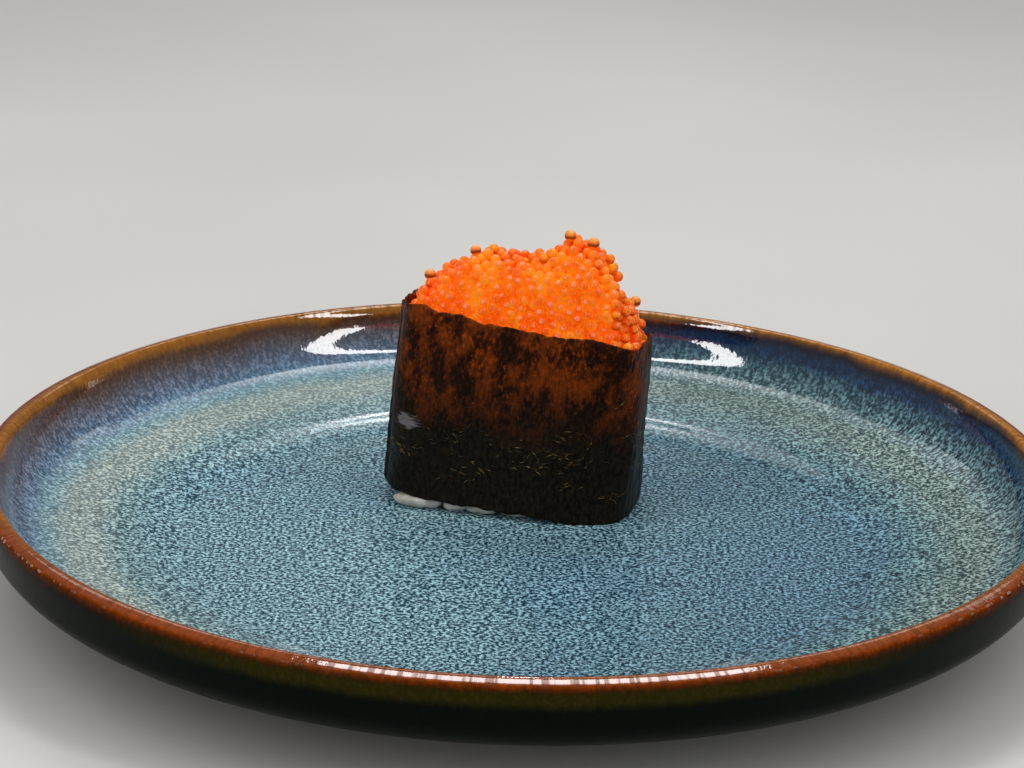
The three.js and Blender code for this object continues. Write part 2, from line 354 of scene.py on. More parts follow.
def tube_faces(columns, rows, lids):
    """Faces of a closed tube of points [column][row], which face away from it.

    Lids are the points in the middle of its first and of its last row.
    """
    faces = grid_faces(columns, rows, True).tolist()
    for column in range(columns):
        here, after = column * rows, (column + 1) % columns * rows
        faces.append([lids[0], after, here])
        faces.append([lids[1], here + rows - 1, after + rows - 1])
    return faces


def turned_over(faces):
    """The same faces, facing the other way."""
    return [face[::-1] for face in faces]


class Finish:
    """A node material, with short calls for the nodes that the finishes share."""

    def __init__(self, name):
        old = bpy.data.materials.get(name)
        if old:
            bpy.data.materials.remove(old)
        self.material = bpy.data.materials.new(name)
        self.material.use_nodes = True
        self.nodes = self.material.node_tree.nodes
        self.links = self.material.node_tree.links
        self.surface = self.nodes["Principled BSDF"]

    def put(self, socket, value):
        """Links a socket to another, or sets its value."""
        if isinstance(value, bpy.types.NodeSocket):
            self.links.new(value, socket)
        elif socket.type == "RGBA":
            socket.default_value = (*value[:3], 1.0)
        else:
            socket.default_value = value

    def add(self, kind, inputs, **settings):
        """A new node with its settings and inputs. Its first output comes back."""
        node = self.nodes.new(kind)
        for key, value in settings.items():
            setattr(node, key, value)
        for key, value in inputs.items():
            self.put(node.inputs[key], value)
        return node.outputs[0]

    def math(self, operation, *values):
        return self.add("ShaderNodeMath", dict(enumerate(values)), operation=operation)

    def place(self):
        """The point of the surface in millimetres, in the part's frame."""
        spot = self.nodes.new("ShaderNodeTexCoord").outputs["Object"]
        return self.scaled(spot, (1 / MM, 1 / MM, 1 / MM))

    def scaled(self, vector, factors):
        return self.add("ShaderNodeVectorMath", {0: vector, 1: factors}, operation="MULTIPLY")

    def distance(self, vector, point):
        node = self.nodes.new("ShaderNodeVectorMath")
        node.operation = "DISTANCE"
        self.put(node.inputs[0], vector)
        self.put(node.inputs[1], point)
        return node.outputs["Value"]

    def parts(self, vector):
        node = self.nodes.new("ShaderNodeSeparateXYZ")
        self.put(node.inputs[0], vector)
        return node.outputs

    def joined(self, x, y, z):
        return self.add("ShaderNodeCombineXYZ", {0: x, 1: y, 2: z})

    def noise(self, vector, scale, detail=2.0, roughness=0.5, distortion=0.0):
        inputs = {
            "Vector": vector,
            "Scale": scale,
            "Detail": detail,
            "Roughness": roughness,
            "Distortion": distortion,
        }
        return self.add("ShaderNodeTexNoise", inputs)

    def value(self, name):
        """A number stored at the piece's points."""
        node = self.nodes.new("ShaderNodeAttribute")
        node.attribute_name = name
        return node.outputs["Fac"]

    def vector(self, name):
        """A vector stored at the piece's points."""
        node = self.nodes.new("ShaderNodeAttribute")
        node.attribute_name = name
        return node.outputs["Vector"]

    def fade(self, value, low, high, start=0.0, end=1.0):
        """Turns a value's range into another, softly and clamped."""
        inputs = {0: value, 1: low, 2: high, 3: start, 4: end}
        return self.add("ShaderNodeMapRange", inputs, interpolation_type="SMOOTHSTEP")

    def mix(self, share, first, second):
        node = self.nodes.new("ShaderNodeMix")
        node.data_type = "RGBA"
        self.put(node.inputs[0], share)
        self.put(node.inputs[6], first)
        self.put(node.inputs[7], second)
        return node.outputs[2]

    def ramp(self, value, stops):
        """A colour that follows a value through stops of (value, colour)."""
        node = self.nodes.new("ShaderNodeValToRGB")
        self.put(node.inputs[0], value)
        elements = node.color_ramp.elements
        elements.remove(elements[1])
        for index, (position, shade) in enumerate(stops):
            element = elements[0] if index == 0 else elements.new(position)
            element.position = position
            element.color = (*shade[:3], 1.0)
        return node.outputs[0]

    def bump(self, height, millimetres, strength=1.0):
        """Relief of a height from 0 to 1 that stands so many millimetres deep."""
        inputs = {"Strength": strength, "Distance": millimetres * MM, "Height": height}
        self.put(self.surface.inputs["Normal"], self.add("ShaderNodeBump", inputs))

    def set(self, **inputs):
        """Sets the shader's sockets, whose names are written with underscores."""
        for key, value in inputs.items():
            self.put(self.surface.inputs[key.replace("_", " ")], value)
        return self.material


# How far along its section the glaze's colours run, in millimetres.
GLAZE_END = 150

# What a fleck of the glaze makes of the colour under it, where it is thick and where it is thin.
FLECK_DARK = (0.1, 0.21, 0.27)
FLECK_LIGHT = (4.1, 3.4, 3.05)


def line_to(path, end, steps):
    """Adds points on a straight line to a half section."""
    start = path[-1]
    for step in range(1, steps + 1):
        share = step / steps
        path.append(tuple(a + (b - a) * share for a, b in zip(start, end)))


def curve_to(path, control, end, steps):
    """Adds points on a quadratic curve to a half section."""
    start = path[-1]
    for step in range(1, steps + 1):
        t = step / steps
        weights = ((1 - t) ** 2, 2 * t * (1 - t), t * t)
        points = zip(start, control, end)
        path.append(tuple(sum(w * p for w, p in zip(weights, point)) for point in points))


def plate_section(plate):
    """The plate's half section: from the middle of the well, over the lip, to the middle below."""
    radius = in_mm(plate.radius)
    height = in_mm(plate.height)
    floor = in_mm(plate.floor)
    well = in_mm(plate.well_radius)
    shoulder = in_mm(plate.shoulder_radius)
    rise = in_mm(plate.shoulder_height)
    thickness = in_mm(plate.thickness)
    foot = in_mm(plate.foot_radius)
    lip = in_mm(plate.lip_width)
    lip_inner = radius - lip
    foot_inner = foot - in_mm(plate.foot_width)
    under = floor - thickness
    bevel = 0.6
    path = [(0.0, floor)]
    line_to(path, (well, floor), 18)
    curve_to(path, (well + 4, floor), (well + 9, floor + 1.4), 8)
    line_to(path, (shoulder, rise), 14)
    curve_to(path, (radius - 5.2, rise + 1.2), (lip_inner - 0.3, height - 1.7), 18)
    curve_to(path, (lip_inner + 0.2, height), (radius - 0.75 * lip, height), 9)
    curve_to(path, (radius - 0.6 * lip, height), (radius - 0.47 * lip, height - 0.115), 4)
    line_to(path, (radius - 0.17 * lip, height - 0.38), 4)
    curve_to(path, (radius, height - 0.62), (radius, height - 1.9), 8)
    curve_to(path, (radius, height - 3.4), (radius - 1, rise + 2.6), 6)
    curve_to(path, (radius - 3.2, rise - 2.6), (shoulder - 4, rise - thickness - 0.6), 14)
    line_to(path, (foot + 4, 3.6), 10)
    curve_to(path, (foot + 0.4, 2.5), (foot, bevel), 8)
    line_to(path, (foot - bevel, 0.0), 2)
    line_to(path, (foot_inner + bevel, 0.0), 3)
    line_to(path, (foot_inner, bevel), 2)
    line_to(path, (foot_inner - 1.2, under), 3)
    line_to(path, (0.0, under), 10)
    return np.array(path)


def revolved(section, segments, wander):
    """Points and faces of a half section turned about Z. Wander(angle, run) moves it in or out."""
    steps = np.hypot(*np.diff(section, axis=0).T)
    run = np.concatenate([[0.0], np.cumsum(steps)])
    body = section[1:-1]
    angles = np.linspace(0, 2 * np.pi, segments, endpoint=False)
    angle, radius = np.meshgrid(angles, body[:, 0], indexing="ij")
    along = np.broadcast_to(run[1:-1], radius.shape)
    inward, down = wander(angle, along)
    radius = radius - inward
    height = np.broadcast_to(body[:, 1], radius.shape) - down
    ring = np.stack([radius * np.cos(angle), radius * np.sin(angle), height], axis=-1)
    points = np.concatenate([ring.reshape(-1, 3), [[0, 0, section[0, 1]], [0, 0, section[-1, 1]]]])
    rows = len(body)
    middle = segments * rows
    faces = turned_over(tube_faces(segments, rows, (middle, middle + 1)))
    runs = np.concatenate([along.ravel(), [0.0, run[-1]]])
    return points, faces, runs


def thrown_wander(angle, run):
    """How far the potter's hand and the glaze leave the true section, in and down."""
    wall = smoothstep(run, 76, 92) * (1 - smoothstep(run, 99, 115))
    lip = smoothstep(run, 90.5, 93.5) * (1 - smoothstep(run, 96, 99))
    slow = 0.10 * (1 + np.sin(2 * angle + 0.8)) + 0.05 * (1 + np.sin(5 * angle + 2.0))
    beads = 0.5 + 0.25 * (np.sin(83 * angle + 3 * np.sin(7 * angle)) + np.sin(131 * angle))
    well = 1 - smoothstep(run, 50, 60)
    swell = 0.06 * np.sin(run / 9 + 2 * np.sin(angle)) * well
    return slow * wall + 0.02 * beads * lip, 0.02 * beads * lip + 0.5 * slow * lip + swell * well


def glaze_finish(plate):
    """Reactive glaze: fine flecks in the well, a sage band, a blue wall and a thin amber lip."""
    finish = Finish("reactive_glaze")
    place = finish.place()
    run = finish.value("glaze_run")
    x, y, _ = finish.parts(place)
    around = finish.add("ShaderNodeVectorMath", {0: finish.joined(x, y, 0.0)}, operation="NORMALIZE")
    ax, ay, _ = finish.parts(finish.scaled(around, (88, 88, 88)))
    flow = finish.joined(ax, ay, finish.math("MULTIPLY", run, 0.4))

    clouds = finish.noise(place, 0.03, detail=2.5)
    streaks = finish.noise(flow, 0.9, detail=3.0, roughness=0.6)
    patches = finish.noise(finish.joined(ax, ay, 0.0), 0.11, detail=3.0)
    sway = finish.math("MULTIPLY_ADD", finish.math("SUBTRACT", clouds, 0.5), 60, x)
    right = finish.fade(sway, -35, 45)
    reach = finish.fade(run, 70, 86, 0.5, 2.6)
    reach = finish.math("MULTIPLY", reach, finish.fade(run, 88, 92, 1.0, 0.4))
    drift = finish.math("MULTIPLY", finish.math("SUBTRACT", streaks, 0.5), reach)
    ragged = finish.math("SUBTRACT", patches, 0.5)
    ragged = finish.math("MULTIPLY", ragged, finish.fade(run, 91, 95, 3.5, 0.8))
    drift = finish.math("ADD", drift, ragged)
    shade = finish.math("DIVIDE", finish.math("ADD", run, drift), GLAZE_END)

    left_side = [
        (0, plate.well),
        (60, plate.well),
        (67, tint(0x6C8E96)),
        (72, plate.sage),
        (76, plate.sage),
        (79.5, plate.aqua),
        (83, tint(0x607F9C)),
        (86, plate.lavender),
        (88, tint(0x625E68)),
        (89.6, tint(0x624A40)),
        (91, plate.umber),
        (92.2, plate.amber),
        (93.6, plate.amber),
        (94.8, plate.rust),
    ]
    right_side = [
        (0, tint(0x577C8D)),
        (60, tint(0x4C7080)),
        (67, tint(0x52757F)),
        (73, tint(0x5C7678)),
        (78, tint(0x627A7A)),
        (81, tint(0x607E84)),
        (84, tint(0x4E6E7A)),
        (87, tint(0x3A5C6E)),
        (88.6, plate.cobalt),
        (90, plate.cobalt),
        (91.4, tint(0x1C1C2C)),
        (92.4, plate.umber),
        (93.2, tint(0xBC7616)),
        (94.2, tint(0xBC7616)),
        (94.9, plate.rust),
    ]
    outside = [(95.4, plate.rust), (96.2, tint(0x52240A)), (97, tint(0x1E1006)), (98, plate.teal)]
    left_glaze = finish.ramp(shade, [(at / GLAZE_END, shown) for at, shown in left_side + outside])
    right_glaze = finish.ramp(shade, [(at / GLAZE_END, shown) for at, shown in right_side + outside])
    glaze = finish.mix(right, left_glaze, right_glaze)
    blue = finish.math("MULTIPLY", finish.fade(clouds, 0.46, 0.64), finish.fade(run, 72, 56))
    glaze = finish.mix(finish.math("MULTIPLY", blue, 0.3), glaze, plate.denim)
    front = finish.math("MULTIPLY", finish.fade(y, -20, -55), finish.fade(run, 91, 92.4))
    front = finish.math("MULTIPLY", front, finish.fade(run, 95.4, 94.6))
    glaze = finish.mix(finish.math("MULTIPLY", front, 0.8), glaze, plate.rust)
    glow = finish.fade(shade, 96 / GLAZE_END, 97.2 / GLAZE_END)
    glow = finish.math("MULTIPLY", glow, finish.fade(y, -62, -86))
    glow = finish.math("MULTIPLY", glow, finish.fade(shade, 100 / GLAZE_END, 98 / GLAZE_END))
    glaze = finish.mix(glow, glaze, plate.olive)

    flecks = finish.noise(place, 1.7, detail=2.2, roughness=0.55, distortion=0.2)
    drawn = finish.noise(flow, 1.5, detail=2.0, distortion=0.2)
    flecks = finish.mix(finish.fade(run, 74, 86, 0.0, 0.45), flecks, drawn)
    lowest = finish.fade(run, 74, 86, 0.4, 0.425)
    highest = finish.fade(run, 74, 86, 0.685, 0.65)
    fleck = finish.fade(flecks, lowest, highest)
    contrast = finish.ramp(
        finish.math("DIVIDE", run, GLAZE_END),
        [
            (60 / GLAZE_END, (1, 1, 1)),
            (68 / GLAZE_END, (0.8, 0.8, 0.8)),
            (73 / GLAZE_END, (0.5, 0.5, 0.5)),
            (84 / GLAZE_END, (0.6, 0.6, 0.6)),
            (90 / GLAZE_END, (0.3, 0.3, 0.3)),
            (92 / GLAZE_END, (0.12, 0.12, 0.12)),
        ],
    )
    band = finish.math("MULTIPLY", finish.fade(run, 62, 70), finish.fade(run, 92, 86))
    contrast = finish.math("MULTIPLY_ADD", finish.math("MULTIPLY", band, right), 0.6, contrast)
    contrast = finish.math("MULTIPLY", contrast, finish.fade(y, 20, 75, 1.0, 0.6))
    speckle = finish.mix(fleck, FLECK_DARK, FLECK_LIGHT)
    speckle = finish.mix(contrast, (1, 1, 1), speckle)
    glaze = finish.add("ShaderNodeVectorMath", {0: glaze, 1: speckle}, operation="MULTIPLY")
    bare = finish.math("MULTIPLY", finish.fade(run, 140.8, 141.6), finish.fade(run, 146.4, 145.6))
    glaze = finish.mix(bare, glaze, plate.clay)

    crest = finish.math("MULTIPLY", finish.fade(run, 91.5, 93), finish.fade(run, 96.5, 95.2))
    drawn_lip = finish.fade(finish.noise(finish.joined(ax, ay, 0.0), 0.95, detail=3.0), 0.52, 0.4)
    drawn_lip = finish.math("MULTIPLY", drawn_lip, crest)
    glaze = finish.mix(finish.math("MULTIPLY", drawn_lip, 0.4), glaze, plate.umber)
    beads = finish.noise(place, 0.9, detail=1.0)
    pits = finish.noise(place, 2.4, detail=1.0)
    relief = finish.math("MULTIPLY", beads, finish.fade(run, 78, 88, 0.05, 0.22))
    relief = finish.math("MULTIPLY_ADD", pits, finish.math("MULTIPLY", crest, 0.1), relief)
    relief = finish.math("MULTIPLY_ADD", fleck, 0.012, relief)
    finish.bump(relief, 0.12, 0.6)
    outer = finish.fade(run, 95, 95.8)
    matt = finish.math("MULTIPLY", finish.fade(run, 64, 70), finish.fade(run, 83.2, 81.6))
    matt = finish.math("MULTIPLY_ADD", matt, 0.3, finish.math("MULTIPLY", outer, 0.26))
    polish = finish.math("ADD", matt, finish.fade(run, 60, 84, 0.11, 0.04))
    gloss = finish.math("MULTIPLY_ADD", outer, -0.85, finish.fade(run, 78, 84, 1.38, 1.95))
    gloss = finish.math("MULTIPLY_ADD", drawn_lip, -0.55, gloss)
    return finish.set(
        Base_Color=glaze,
        Roughness=finish.math("MULTIPLY_ADD", bare, 0.5, polish),
        IOR=gloss,
    )


class TOBIKO_OT_plate(bpy.types.Operator):
    """Turns the plate from its half section and glazes it."""

    bl_idname = "tobiko.plate"
    bl_label = "Plate"

    def execute(self, context):
        plate = context.scene.tobiko_plate
        section = plate_section(plate)
        points, faces, runs = revolved(section, PLATE_COLUMNS, thrown_wander)
        piece = new_piece("plate_glazed", points, faces, glaze_finish(plate))
        add_values(piece, "glaze_run", runs)
        settle(piece, "plate")
        return {"FINISHED"}


class SushiForm:
    """The sushi's outline, edges and heap, in millimetres from the middle of its foot."""

    def __init__(self, context):
        sushi = context.scene.tobiko_sushi
        roe = context.scene.tobiko_roe
        self.length = in_mm(sushi.length)
        self.width = in_mm(sushi.width)
        self.top = in_mm(sushi.strip_height)
        self.thickness = in_mm(sushi.strip_thickness)
        self.x = in_mm(sushi.x)
        self.y = in_mm(sushi.y)
        self.turn = sushi.turn
        self.floor = in_mm(context.scene.tobiko_plate.floor)
        self.dome = in_mm(roe.dome)
        self.peak = in_mm(roe.peak)
        self.egg = in_mm(roe.egg)

    def place(self, points):
        """Moves points from the sushi's own axes to the part's frame."""
        x, y, z = np.moveaxis(np.asarray(points, float), -1, 0)
        cos, sin = math.cos(self.turn), math.sin(self.turn)
        across = self.x + x * cos - y * sin
        back = self.y + x * sin + y * cos
        return np.stack([across, back, z + self.floor], axis=-1)

    def outline(self, angle, height, inset=0.0):
        """The squared oval at these angles and heights, moved in from its outer face."""
        cos, sin = np.cos(angle), np.sin(angle)
        half_length = self.length / 2 - TAPER * height - inset
        half_width = self.width / 2 - inset
        x = half_length * np.sign(cos) * np.abs(cos) ** (2 / SQUARENESS) + LEAN * height
        y = half_width * np.sign(sin) * np.abs(sin) ** (2 / SQUARENESS)
        return x, y

    def wall(self, angle, height, inset=0.0):
        """The same with the strip's slow dents and swells."""
        swell = 0.22 * np.sin(3 * angle + 0.12 * height) + 0.14 * np.sin(7 * angle - 0.2 * height)
        return self.outline(angle, height, inset - swell)

    def top_edge(self, angle):
        x, y = self.outline(angle, 0)
        waves = np.sin(5 * angle + 0.7) + 0.6 * np.sin(11 * angle + 2.1)
        return self.top + TOP_SLOPE * x + TOP_TILT * y + RIPPLE * waves

    def bottom_edge(self, angle):
        x, _ = self.outline(angle, 0)
        wave = 0.5 * RIPPLE * np.sin(7 * angle)
        return np.maximum(0.06, BOTTOM_HEIGHT + BOTTOM_SLOPE * x + wave)

    def angles(self, start, end, count):
        """Angles at even steps along the outline, and the distance run at each."""
        fine = np.linspace(start, end, 20000)
        x, y = self.outline(fine, 0)
        run = np.concatenate([[0.0], np.cumsum(np.hypot(np.diff(x), np.diff(y)))])
        even = np.linspace(0, run[-1], count)
        return np.interp(even, run, fine), even

    def heap(self, spots):
        """Height of the middles of the open eggs over plan spots, without the lean."""
        x, y = spots[:, 0], spots[:, 1]
        base = self.top + TOP_SLOPE * x + TOP_TILT * y - 0.9
        aside = ((x - PEAK[0]) / PEAK_REACH[0]) ** 2 + ((y - PEAK[1]) / PEAK_REACH[1]) ** 2
        drop = 1 - DROP_SHARE * smoothstep(x + DROP_SKEW * y, *DROP)
        lumps = 0.5 * np.sin(0.9 * x + 1.3) * np.cos(0.7 * y)
        rise = self.dome * smoothstep(x, *SHOULDER) + self.peak * np.exp(-aside) + lumps
        edge = np.sqrt(np.clip(1 - self.reach(spots) ** EDGE_POWER, 0, 1))
        crown = np.clip(1 - (2 * np.abs(y) / self.width) ** 2.2, 0, 1) ** 0.8
        return base + rise * drop * edge * crown

    def reach(self, spots):
        """How far out plan spots lie: 1 where the heap meets the strip."""
        half_length = self.length / 2 - TAPER * self.top - HEAP_INSET
        half_width = self.width / 2 - HEAP_INSET
        far = (np.abs(spots[:, 0]) / half_length) ** SQUARENESS
        wide = (np.abs(spots[:, 1]) / half_width) ** SQUARENESS
        return (far + wide) ** (1 / SQUARENESS)

    def heap_slope(self, spots):
        """The heap's unit normals over plan spots."""
        step = 0.05
        along = self.heap(spots + [step, 0]) - self.heap(spots - [step, 0])
        across = self.heap(spots + [0, step]) - self.heap(spots - [0, step])
        normals = np.stack([-along, -across, np.full(len(spots), 2 * step)], axis=1)
        return normals / np.linalg.norm(normals, axis=1, keepdims=True)

    def heap_points(self, spots, depth=0.0):
        """Points of the heap over plan spots, a depth below its surface."""
        points = np.column_stack([spots[:, 0] + LEAN * self.top, spots[:, 1], self.heap(spots)])
        return points - depth * self.heap_slope(spots)


def crumple(x, y, height, top):
    """How far the dried sheet stands off its smooth form, in millimetres, at one of its points."""
    low = math.exp(-(((height - 12) / 6) ** 2))
    slow = noise.noise(Vector((x / 9, y / 9, height / 9)))
    creases = noise.noise(Vector((x / 5, y / 5, height / 1.5 + 0.4 * x)))
    fine = noise.noise(Vector((x / 1.3, y / 1.3, height / 1.1)))
    curl = noise.noise(Vector((x / 2.2, y / 2.2, 0.4))) * math.exp(-(top - height) / 1.4)
    ribs = smoothstep(x, 15, 20) * noise.noise(Vector((x / 0.7, y / 0.7, height / 14)))
    folds = 0.05 + 0.3 * low * abs(creases)
    return 0.2 * slow + folds * creases + 0.05 * fine + 0.25 * curl + 0.09 * ribs


def seaweed_finish(sushi):
    """Roasted seaweed: near black and satin, with painted light: a red brown top with rusty patches
    and ember spots where the roe's light shines through, and a pale highlight on a fold at its front
    left corner.
    """
    finish = Finish("roasted_seaweed")
    sheet = finish.vector("sheet")
    arc, height, _ = finish.parts(sheet)
    cloth = finish.noise(finish.scaled(sheet, (1.0, 0.6, 1.0)), 0.3, detail=4.0, roughness=0.6)
    grain = finish.noise(finish.scaled(sheet, (1.0, 0.55, 1.0)), 1.5, detail=4.0, roughness=0.65)
    skin = finish.mix(finish.fade(grain, 0.35, 0.7), tint(0x0D0A06), sushi.seaweed)
    # Painted light from here to the ember spots: the upper strip is painted red brown, then rusty
    # patches and brighter ember spots, where the roe's light shines through the sheet.
    upper = finish.fade(height, 11, 32)
    skin = finish.mix(finish.math("MULTIPLY", upper, 0.8), skin, tint(0x2A1004))
    clouds = finish.noise(finish.scaled(sheet, (1.0, 0.7, 1.0)), 0.13)
    patches = finish.math("MULTIPLY_ADD", clouds, 0.5, finish.math("MULTIPLY_ADD", grain, 0.5, cloth))
    patches = finish.fade(patches, 0.88, 1.22)
    glow = finish.math("MULTIPLY", patches, upper)
    skin = finish.mix(glow, skin, sushi.seaweed_painted_glow)
    ember = finish.math("MULTIPLY", finish.fade(grain, 0.53, 0.68), finish.fade(height, 14, 32))
    ember = finish.math("MULTIPLY", ember, finish.fade(clouds, 0.42, 0.6, 0.2, 0.8))
    skin = finish.mix(ember, skin, tint(0xB8480A))

    # Painted highlight: a pale streaky patch where a fold at the front left corner catches the light.
    strokes = finish.noise(finish.scaled(sheet, (0.3, 1.5, 1.0)), 1.6)
    painted_sheen = finish.distance(finish.scaled(finish.place(), (1, 1, PAINTED_SHEEN_STRETCH)), PAINTED_SHEEN)
    painted_sheen = finish.fade(finish.math("MULTIPLY_ADD", strokes, -6.0, painted_sheen), 0.2, -1.8)
    skin = finish.mix(finish.math("MULTIPLY", painted_sheen, 0.8), skin, tint(0x8A8486))

    finish.bump(grain, 0.2, 0.9)
    return finish.set(
        Base_Color=skin,
        Roughness=finish.fade(cloth, 0.3, 0.7, 0.28, 0.42),
        IOR=1.17,
    )


def fibre_finish(sushi):
    """Dry fibres in the seaweed: straw in some places and tan in others."""
    finish = Finish("seaweed_fibre")
    place = finish.place()
    dry = finish.fade(finish.noise(place, 1.1), 0.45, 0.66)
    gloss = finish.fade(finish.noise(place, 2.0), 0.3, 0.7, 0.25, 0.5)
    return finish.set(
        Base_Color=finish.mix(dry, tint(0x46300C), sushi.seaweed_fibre),
        Roughness=gloss,
    )


class TOBIKO_OT_seaweed(bpy.types.Operator):
    """Winds one strip of seaweed round the sushi, so that its end laps over its start."""

    bl_idname = "tobiko.seaweed"
    bl_label = "Seaweed"

    def execute(self, context):
        form = SushiForm(context)
        columns, rows = STRIP_GRID
        angles, arcs = form.angles(LAP_START, LAP_END + 2 * math.pi, columns)
        lapped = smoothstep(angles, LAP_START + 2 * math.pi - 0.25, LAP_START + 2 * math.pi + 0.1)
        lapped *= 1 - 0.88 * smoothstep(angles, LAP_END + 2 * math.pi - 0.08, LAP_END + 2 * math.pi)
        outer = np.zeros((columns, rows, 3))
        inner = np.zeros((columns, rows, 3))
        for index, (angle, arc) in enumerate(zip(angles, arcs)):
            ragged = noise.noise(Vector((arc / 2.3, 0.5, 0.0)))
            ragged += 0.5 * noise.noise(Vector((arc, 4.5, 0.0)))
            torn = noise.noise(Vector((arc / 2.0, 8.5, 0.0)))
            torn += 0.5 * noise.noise(Vector((arc, 2.5, 0.0)))
            top = form.top_edge(angle) + 0.45 * ragged - 0.4 * lapped[index]
            low = max(0.06, form.bottom_edge(angle) + 0.35 * torn + 0.9 * lapped[index])
            heights = np.linspace(low, top, rows)
            foot_x, foot_y = form.outline(angle, 0)
            rough = np.array([crumple(foot_x, foot_y, height, top) for height in heights])
            proud = rough + lapped[index] * (form.thickness + 0.06)
            for face, inset in ((outer, -proud), (inner, form.thickness - proud)):
                x, y = form.wall(angle, heights, inset)
                face[index] = np.stack([x, y, heights], axis=1)
        points = form.place(np.concatenate([outer.reshape(-1, 3), inner.reshape(-1, 3)]))
        skin = grid_faces(columns, rows, False)
        back = skin[:, ::-1] + columns * rows
        edge = np.concatenate([
            np.arange(rows),
            np.arange(1, columns) * rows + rows - 1,
            (columns - 1) * rows + np.arange(rows - 2, -1, -1),
            np.arange(columns - 2, 0, -1) * rows,
        ])
        after = np.roll(edge, -1)
        rim = np.stack([edge, after, after + columns * rows, edge + columns * rows], axis=1)
        faces = np.concatenate([skin, back, rim])
        piece = new_piece("seaweed_wrap", points, faces, seaweed_finish(context.scene.tobiko_sushi))
        sheet = np.zeros((columns, rows, 3), np.float32)
        sheet[:, :, 0] = arcs[:, None]
        sheet[:, :, 1] = outer[:, :, 2]
        both = np.concatenate([sheet.reshape(-1, 3), sheet.reshape(-1, 3)])
        attribute = piece.data.attributes.new("sheet", "FLOAT_VECTOR", "POINT")
        attribute.data.foreach_set("vector", both.ravel())
        settle(piece, "seaweed_strip")
        self.fibres(context, form, outer, inner, arcs[-1])
        return {"FINISHED"}

    def fibres(self, context, form, outer, inner, total):
        """Bunches of fine fibres that lie on the lower half of the strip, most of them level."""
        rng = np.random.default_rng(11)
        columns, rows = outer.shape[:2]
        points, faces = [], []
        used = 0
        for _ in range(FIBRE_BUNCHES):
            middle = np.array([rng.uniform(2, total - 2), rng.normal(11.4, 3.5)])
            heading = rng.normal(0, 0.2) + (rng.random() < 0.2) * rng.choice([-0.6, 0.6])
            for _ in range(rng.integers(2, 10)):
                turn = heading + rng.normal(0, 0.22)
                bend, wave = rng.normal(0, 0.05), rng.uniform(0, 6)
                count = int(rng.gamma(1.4, 5.0)) + 4
                number = np.arange(count)
                turns = turn + bend * number + 0.35 * np.sin(0.9 * number + wave)
                steps = FIBRE_STEP * np.stack([np.cos(turns), np.sin(turns)], axis=1)
                spots = middle + rng.normal(0, (1.8, 0.5)) + np.cumsum(steps, axis=0)
                if spots[:, 0].min() < 0.5 or spots[:, 0].max() > total - 0.5:
                    continue
                column = spots[:, 0] / total * (columns - 1)
                left = np.minimum(column.astype(int), columns - 2)
                low, high = outer[left, 0, 2], outer[left, -1, 2]
                row = (spots[:, 1] - low) / (high - low) * (rows - 1)
                if row.min() < 1 or row.max() > rows - 2:
                    continue
                skin = self.between(outer, column, row)
                out = skin - self.between(inner, column, row)
                out /= np.linalg.norm(out, axis=1, keepdims=True)
                side = np.cross(out, np.gradient(skin, axis=0))
                side /= np.linalg.norm(side, axis=1, keepdims=True)
                swell = np.sin(np.linspace(0.25, math.pi - 0.1, count))[:, None]
                half = rng.uniform(0.008, 0.04) * swell
                low_side = skin + 0.01 * out
                points += [low_side - half * side, low_side + half * side, skin + 0.06 * out]
                faces += (grid_faces(3, count, True) + used).tolist()
                ends = used + np.arange(3) * count
                faces += [ends.tolist()[::-1], (ends + count - 1).tolist()]
                used += 3 * count
        placed = form.place(np.concatenate(points))
        finish = fibre_finish(context.scene.tobiko_sushi)
        settle(new_piece("seaweed_fibres", placed, faces, finish), None)

    def between(self, face, column, row):
        """Points of a face of the strip at fractions of its columns and rows."""
        left, low = column.astype(int), row.astype(int)
        across, up = (column - left)[:, None], (row - low)[:, None]
        below = face[left, low] * (1 - across) + face[left + 1, low] * across
        above = face[left, low + 1] * (1 - across) + face[left + 1, low + 1] * across
        return below * (1 - up) + above * up


def rice_finish(rice):
    """Cooked rice: off white, moist and a little translucent."""
    finish = Finish("cooked_rice")
    place = finish.place()
    starch = finish.noise(place, 0.8, detail=3.0)
    body = finish.mix(finish.fade(starch, 0.35, 0.7), tint(0xBCB6AC), rice.colour)
    finish.bump(finish.noise(place, 2.2, detail=3.0), 0.08, 0.6)
    return finish.set(
        Base_Color=body,
        Roughness=finish.fade(starch, 0.3, 0.7, 0.3, 0.5),
        Subsurface_Weight=0.6,
        Subsurface_Radius=(1.2, 1.0, 0.8),
        Subsurface_Scale=0.0012,
    )


def grain_shape(sides=14, stations=12):
    """Points and faces of one cooked grain of length 1 and width 1, lying along X."""
    along = -np.cos(np.linspace(0, np.pi, stations + 2)[1:-1]) / 2
    girth = (1 - (2 * np.abs(along)) ** 2.6) ** 0.5 * (1 + 0.12 * along) / 2
    angle = np.linspace(0, 2 * np.pi, sides, endpoint=False)
    x = np.repeat(along[:, None], sides, axis=1)
    y = girth[:, None] * np.cos(angle) * (1 + 0.05 * np.cos(2 * angle))
    z = girth[:, None] * np.sin(angle) * 0.9
    points = np.concatenate([np.stack([x, y, z], -1).reshape(-1, 3), [[-0.5, 0, 0], [0.5, 0, 0]]])
    first, last = stations * sides, stations * sides + 1
    faces = []
    for side in range(sides):
        after = (side + 1) % sides
        for here in range(0, first - sides, sides):
            there = here + sides
            faces.append([here + side, there + side, there + after, here + after])
        faces.append([first, side, after])
        faces.append([last, first - sides + after, first - sides + side])
    return points, turned_over(faces)


